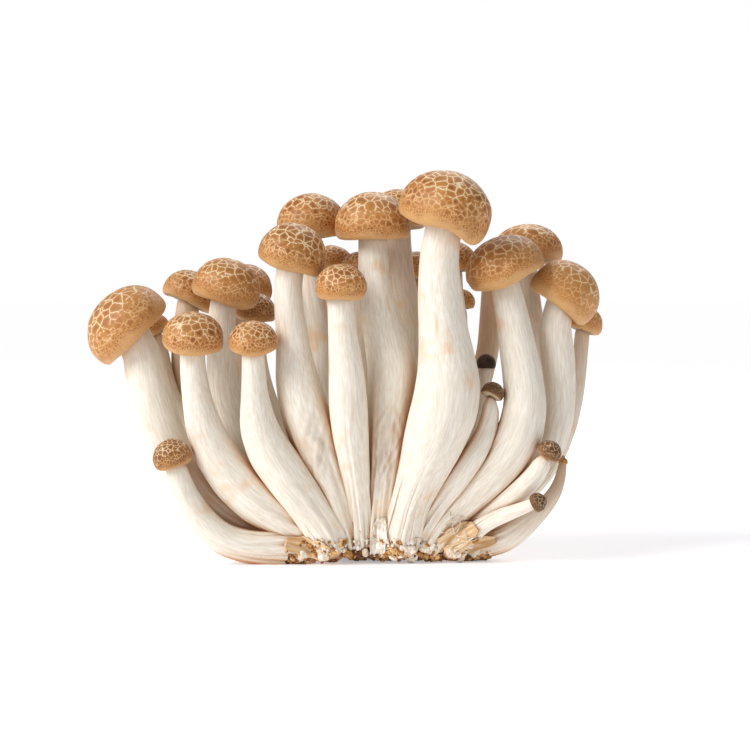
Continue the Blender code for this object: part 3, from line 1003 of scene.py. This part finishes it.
def add_tube(heap, points):
    """A closed tube whose rings stand at the points."""
    rings = [[heap.verts.new(place) for place in ring] for ring in points]
    loops = [[heap.edges.new(pair) for pair in zip(ring, ring[1:] + ring[:1])] for ring in rings]
    for lower, upper in zip(loops, loops[1:]):
        bmesh.ops.bridge_loops(heap, edges=lower + upper)
    bmesh.ops.holes_fill(heap, edges=loops[0] + loops[-1], sides=0)


def build_strands(name, strands):
    heap = bmesh.new()
    for strand in strands:
        add_tube(heap, inside_cluster(strand_points(*strand)))
    bmesh.ops.recalc_face_normals(heap, faces=heap.faces)
    mesh = mesh_from(heap, name)
    points = points_of(mesh)
    store(mesh, "straight", points * (1, 1, 0.6), "FLOAT_VECTOR")
    store(mesh, "scar", np.zeros(len(points)))
    store(mesh, "tan", np.clip(0.16 - points[:, 2] / (60 * MM), 0, 1))
    add_piece(name, mesh, stem_flesh_material)


strands = []
for stem in FRONT_STEMS:
    for _ in range(STRANDS_A_STEM):
        length = chance.uniform(7, 24) * MM
        strands.append((stem, chance.random(), length, chance.uniform(0.35, 1.0) * MM))
build_strands("root_strands", strands)
print(len(strands), "strands")

# %% [markdown]
# ## Buttons
# The three pins are mushrooms that stopped growing. Each carries a cap the size of a lentil, and
# the earlier it stopped, the darker the cap, because the skin never spread. Its solid is part of
# the pin, so the size comes from the widest place near the tip.

# %% Buttons
BUTTONS = {"pin_middle": (1.3, 1.12), "pin_front": (0.75, 1.12), "pin_right": (0.1, 0.95)}
TIP_STEPS = 6


def build_button(name, youth, stretch):
    centres, _, _, reach = walks[name]
    wide = reach[:TIP_STEPS].mean(axis=1)
    radius = wide.max() * stretch
    axis = centres[0] - centres[TIP_STEPS]
    axis /= np.linalg.norm(axis)
    middle = centres[wide.argmax() + 1] - axis * 0.3 * radius
    caps["cap_" + name] = (middle, axis, radius, radius * 1.4)
    YOUNG["cap_" + name] = youth
    build_cap("cap_" + name)
    print(name, "has a cap", round(2 * radius / MM, 1), "mm across")


for name, (youth, stretch) in BUTTONS.items():
    build_button(name, youth, stretch)

# %% [markdown]
# ## Foot
# The foot is what was left of the growing block when the cluster was cut off: sawdust and bran
# bound by white threads. All three are dry and rough, and differ only in their browns, so one
# function makes them from three tones.

# %% Foot crumb material
def crumb_material(name, dark, middle, light):
    """Dry crumbs: rough, matt, patched with a second tone, with painted shade nearly black between."""
    material, tree, shader = new_material(name)
    node = partial(add_node, tree)
    place = node("TexCoord", {}, "Object")
    grain = node("TexNoise", {"Vector": place, "Scale": 1 / (0.5 * MM), "Detail": 4.0}, "Fac")
    patch = node("TexNoise", {"Vector": place, "Scale": 1 / (2.2 * MM), "Detail": 2.0}, "Fac")
    # painted shade: occlusion turns the gaps between the crumbs nearly black
    folds = node("AmbientOcclusion", {"Distance": 1.5 * MM}, "AO", samples=6)
    grains = node("MapRange", {0: grain, 1: 0.3, 2: 0.7}, **SMOOTH)
    patches = node("MapRange", {0: patch, 1: 0.45, 2: 0.65}, **SMOOTH)
    between = node("MapRange", {0: folds, 1: 0.1, 2: 0.7, 3: 0.9, 4: 0.0}, **SMOOTH)
    colour = node("Mix", {0: grains, 6: linear(dark), 7: linear(middle)}, 2, **COLOURS)
    colour = node("Mix", {0: patches, 6: colour, 7: linear(light)}, 2, **COLOURS)
    colour = node("Mix", {0: between, 6: colour, 7: linear("#3a1a08")}, 2, **COLOURS)
    relief = node("Bump", {"Strength": 0.6, "Distance": 0.2 * MM, "Height": grain})
    set_inputs(tree, shader, {"Base Color": colour, "Normal": relief, "Roughness": 0.9})
    return material


bran = crumb_material("bran_crumbs", "#7a451b", "#c98f4a", "#e2b77c")
husk = crumb_material("dark_sawdust", "#32160a", "#5d3215", "#8a5424")
thread_wool = crumb_material("white_thread_wool", "#cdb292", "#f0e6d6", "#fbf6ee")
print("crumbs:", bran.name, husk.name, thread_wool.name)

# %% [markdown]
# ## Foot lump
# Most of the foot hides under the stems, so a rough lump in the place of its solid carries it.
# It starts as an even ball, because that has no poles, and sums of waves roughen it.

# %% Foot lump
foot_low, foot_high = (np.array(corner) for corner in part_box("foot_clump"))
foot_middle, foot_half = (foot_low + foot_high) / 2, (foot_high - foot_low) / 2
LUMP_WAVES = 26


def build_lump():
    """A rough lump in the place of the foot's solid."""
    shape = bmesh.new()
    bmesh.ops.create_icosphere(shape, subdivisions=6, radius=1.0)
    mesh = mesh_from(shape, "foot_lump")
    points = points_of(mesh)
    turns = chance.uniform(-1, 1, (LUMP_WAVES, 3)) * np.linspace(3, 16, LUMP_WAVES)[:, None]
    phases = chance.uniform(0, 6.28, LUMP_WAVES)
    rough = (np.sin(points @ turns.T + phases) / np.linspace(1.5, 5, LUMP_WAVES)).sum(axis=1)
    points *= (0.93 + 0.05 * rough)[:, None]
    placed = foot_middle + points * foot_half * (0.97, 0.97, 0.86)
    placed[:, 2] = np.clip(placed[:, 2], 0.3 * MM, foot_high[2])
    move_points(mesh, placed)
    return add_piece("foot_lump", mesh, husk, ["foot_clump"])


build_lump()
print("foot", (2 * foot_half / MM).round(1), "mm")

# %% [markdown]
# ## Crumbs
# Thousands of crumbs stick to the outside of the foot. A ray from outside finds where it meets
# the lump or a root, and a crumb goes there, so that none floats. Each is a ball of only 20
# faces with its points thrown about, because so many are needed.

# %% What the crumbs stick to
def surface_tree(low_enough):
    """Everything of the stems and the lump that lies near the table."""
    corners, faces = [], []
    for piece in bpy.context.scene.objects:
        if piece.type != "MESH" or not piece.name.endswith(("_flesh", "foot_lump")):
            continue
        points = points_of(piece.data)
        start = len(corners)
        corners.extend(points.tolist())
        for polygon in piece.data.polygons:
            if points[polygon.vertices[0]][2] < low_enough:
                faces.append([start + v for v in polygon.vertices])
    print(len(faces), "faces can hold a crumb")
    return BVHTree.FromPolygons(corners, faces)


around = surface_tree(14 * MM)

# %% Crumbs
def sticking_places(count, highest, patch):
    """Places on the outside of the foot, more of them near the table, all the way round."""
    places = []
    while len(places) < count:
        turn = chance.uniform(0, FULL_TURN)
        height = 0.3 * MM + highest * chance.random() ** 1.6
        outside = foot_middle + 1.8 * foot_half * (math.cos(turn), math.sin(turn), 0)
        outside[2] = height
        goal = foot_middle + 0.55 * foot_half * (math.cos(turn), math.sin(turn), 0)
        goal[0] += chance.uniform(-4, 4) * MM
        goal[2] = height
        hit, _, _, _ = around.ray_cast(Vector(outside), Vector(goal - outside).normalized())
        if hit is None:
            continue
        bare = np.sin(np.array(hit) / (1.5 * MM) + patch).sum() + chance.normal() * 0.5 < -0.4
        share = np.abs((np.array(hit) - foot_middle) / (foot_half + 1.5 * MM))
        if not bare and share[0] < 1.0 and share[1] < 1.2:
            places.append(np.array(hit))
    return places


def crumb_heap(name, count, sizes, highest, material):
    """Many small rough grains in one mesh, with sizes in mm."""
    heap = bmesh.new()
    patch = chance.uniform(0, 6.28, 3)
    for place in sticking_places(count, highest, patch):
        size = sizes[0] * MM + (sizes[1] - sizes[0]) * MM * chance.random() ** 2
        stretch = chance.uniform(0.6, 1.4, 3)
        turn = Matrix.Rotation(chance.uniform(0, 6.28), 4, Vector(chance.normal(size=3)).normalized())
        place[2] = max(place[2], size * 0.9 + 0.05 * MM)
        matrix = Matrix.Translation(place) @ turn @ Matrix.Diagonal((*(stretch * size), 1))
        made = bmesh.ops.create_icosphere(heap, subdivisions=1, radius=1.0, matrix=matrix)
        for vert in made["verts"]:
            vert.co += Vector(chance.normal(size=3)) * size * 0.16
            vert.co.z = max(vert.co.z, 0.02 * MM)
    piece = add_piece(name, mesh_from(heap, name), material)
    piece.data.shade_flat()
    print(count, "grains in", name)


crumb_heap("foot_bran", 2600, (0.25, 0.85), 5.4 * MM, bran)
crumb_heap("foot_sawdust", 700, (0.25, 0.6), 1.8 * MM, husk)
crumb_heap("foot_wool", 800, (0.2, 0.7), 5.8 * MM, thread_wool)

# %% [markdown]
# ## Wool lumps
# White thread wool swells out of the foot in lumps of 1 to 3 mm. They are small rough balls that
# sit half in what is behind them, most of them near the middle of the front.

# %% Wool lumps
WOOL_WAVES = 9


def front_of(x, z):
    """How far forward the stems and the foot come at this place."""
    hit, _, _, _ = around.ray_cast(Vector((x, -60 * MM, z)), Vector((0, 1, 0)))
    return hit.y if hit else None


def add_wool_lump(heap, place, size):
    """One ball with a lumpy surface."""
    matrix = Matrix.Translation(place) @ Matrix.Diagonal((size, size, size, 1))
    from_middle = matrix.inverted()
    made = bmesh.ops.create_icosphere(heap, subdivisions=4, radius=1.0, matrix=matrix)
    turns = chance.normal(size=(WOOL_WAVES, 3)) * np.linspace(1.5, 6, WOOL_WAVES)[:, None] / size
    phases = chance.uniform(0, 6.28, WOOL_WAVES)
    for vert in made["verts"]:
        rough = (np.sin(turns @ np.array(vert.co) + phases) / np.linspace(2, 6, WOOL_WAVES)).sum()
        vert.co += (from_middle @ vert.co).normalized() * size * 0.22 * rough
        vert.co.z = max(vert.co.z, 0.03 * MM)


def build_lumps(count):
    heap = bmesh.new()
    made = 0
    while made < count:
        x = foot_middle[0] + foot_half[0] * chance.normal() * 0.55
        if abs(x - foot_middle[0]) > foot_half[0] * 0.95:
            continue
        size = chance.uniform(0.7, 1.7) * MM
        z = chance.uniform(0.9, 4.0) * MM
        y = front_of(x, z)
        if y is not None:
            add_wool_lump(heap, (x, y + 0.35 * size, max(z, size)), size)
            made += 1
    add_piece("foot_wool_lumps", mesh_from(heap, "foot_wool_lumps"), thread_wool)
    print(made, "wool lumps")


build_lumps(22)

# %% [markdown]
# ## Torn skin
# Round the foot hang flaps of old skin that tore when the cluster was cut. A flap is a small
# leaf-shaped sheet that lies on whatever is behind it, with its free edge curled forward. Cloth
# simulation would do, but each is short and dry, so laying a grid on the surface is enough.

# %% Torn skin material
def flap_material():
    """Thin dry mushroom skin: tan, streaked and slightly glossy."""
    material, tree, shader = new_material("torn_tan_skin")
    node = partial(add_node, tree)
    place = node("Attribute", {}, "Vector", attribute_name="straight")
    drawn_out = node("Mapping", {"Vector": place, "Scale": (1, 1, 0.12)})
    streak = node("TexNoise", {"Vector": drawn_out, "Scale": 1 / (0.7 * MM), "Detail": 4.0}, "Fac")
    streaks = node("MapRange", {0: streak, 1: 0.3, 2: 0.7}, **SMOOTH)
    colour = node("Mix", {0: streaks, 6: linear("#cfa16c"), 7: linear("#ecd3ae")}, 2, **COLOURS)
    relief = node("Bump", {"Strength": 0.5, "Distance": 0.1 * MM, "Height": streak})
    set_inputs(tree, shader, {"Base Color": colour, "Normal": relief, "Roughness": 0.5})
    return material


tan_flap = flap_material()
print("made", tan_flap.name)

# %% Torn flaps
FLAP_WALL = 0.18 * MM
left_end, right_end = foot_low[0], foot_high[0]
FLAPS = (  # name, lower end, width and length, lean, material
    ("flap_left", (left_end + 8.5 * MM, 2.6 * MM), (4.6 * MM, 10.5 * MM), -1.3, tan_flap),
    ("flap_right", (right_end - 10 * MM, 3.6 * MM), (5.4 * MM, 9.5 * MM), 0.95, tan_flap),
    ("flap_right_low", (right_end - 9 * MM, 2.6 * MM), (3.4 * MM, 12 * MM), 1.32, tan_flap),
    ("flap_white", (left_end + 19.5 * MM, 1.5 * MM), (3.6 * MM, 9.5 * MM), 0.12, thread_wool),
)


def flap_outline(across_share, up_share, size, lean):
    """How far each point lies across and up a leaf with a ragged edge."""
    narrow = np.sin(math.pi * np.clip(0.2 + 0.76 * up_share, 0, 1)) ** 0.45
    ragged = 1 + 0.1 * np.sin(17 * up_share + 5 * across_share + lean) + 0.08 * np.sin(41 * up_share)
    return (across_share - 0.5) * size[0] * narrow * ragged, up_share * size[1]


def build_flap(name, where, size, lean, material):
    """A leaf-shaped sheet that lies on what is behind it."""
    mesh, across_share, up_share = wrapped_grid(14, 18)
    across, up = flap_outline(across_share, up_share, size, lean)
    x = where[0] + across * math.cos(lean) + up * math.sin(lean)
    z = where[1] - across * math.sin(lean) + up * math.cos(lean)
    y = np.array([front_of(*place) or np.nan for place in zip(x, z)])
    y[np.isnan(y)] = np.nanmean(y)
    y = np.minimum(y, np.nanmedian(y) + 1.2 * MM)
    curl = (np.abs(across_share - 0.5) * 2) ** 3 * 0.5 * MM + up_share**3 * 0.7 * MM
    placed = np.stack([x, y - 0.25 * MM - curl, np.maximum(z, 0.1 * MM)], axis=1)
    move_points(mesh, inside_cluster(placed))
    store(mesh, "straight", np.stack([across, 0 * across, up], axis=1), "FLOAT_VECTOR")
    with reshaping(mesh) as sheet:
        bmesh.ops.remove_doubles(sheet, verts=sheet.verts, dist=SEAM / 2)
        bmesh.ops.smooth_vert(
            sheet, verts=sheet.verts, factor=0.5, use_axis_x=True, use_axis_y=True, use_axis_z=True
        )
        bmesh.ops.solidify(sheet, geom=sheet.faces, thickness=FLAP_WALL)
    return add_piece(name, mesh, material)


for flap in FLAPS:
    build_flap(*flap)
print(len(FLAPS), "flaps")

# %% [markdown]
# ## Loose threads
# A few white threads stand free where the wool was pulled apart. Each is a thin tube along a
# bowed path in front of the stems. A curve with a round bevel makes such a tube, and it is
# turned into a mesh once it has its shape.

# %% Loose threads
THREAD_RADIUS = 0.1 * MM
THREAD_POINTS = 24
THREADS = (  # start across, start up, run to the side, rise
    (right_end - 9 * MM, 12 * MM, 7 * MM, -6 * MM),
    (right_end - 5 * MM, 11 * MM, -6 * MM, -4 * MM),
    (right_end - 4 * MM, 4 * MM, -5 * MM, 7 * MM),
    (right_end - 7 * MM, 3 * MM, 6 * MM, 3 * MM),
    (left_end + 15 * MM, 8 * MM, 4 * MM, -2 * MM),
    (right_end - 10 * MM, 9 * MM, 6 * MM, 1.5 * MM),
)


def thread_place(share, x, z, run, lift):
    """A point of a thread, bowed away from the stems in its middle."""
    px = x + run * share + 0.6 * MM * math.sin(7 * share + 900 * x)
    pz = z + lift * math.sin(2.4 * share) + 0.4 * MM * math.sin(9 * share + 700 * z)
    behind = front_of(px, min(pz, 13 * MM)) or foot_low[1]
    return px, behind - 0.15 * MM - 1.6 * MM * share * (1 - share) * 3, pz, 1


def build_threads(name):
    data = bpy.data.curves.new(name, "CURVE")
    data.dimensions = "3D"
    data.bevel_depth = THREAD_RADIUS
    data.bevel_resolution = 1
    data.use_fill_caps = True
    for thread in THREADS:
        spline = data.splines.new("POLY")
        spline.points.add(THREAD_POINTS - 1)
        for point, share in zip(spline.points, np.linspace(0, 1, THREAD_POINTS)):
            point.co = thread_place(share, *thread)
            point.radius = 1.1 - 0.5 * share
    curve = bpy.data.objects.new("threads_path", data)
    bpy.context.scene.collection.objects.link(curve)
    mesh = bpy.data.meshes.new_from_object(curve.evaluated_get(bpy.context.evaluated_depsgraph_get()))
    bpy.data.objects.remove(curve)
    add_piece(name, mesh, thread_wool)


build_threads("loose_threads")
print(len(THREADS), "threads")
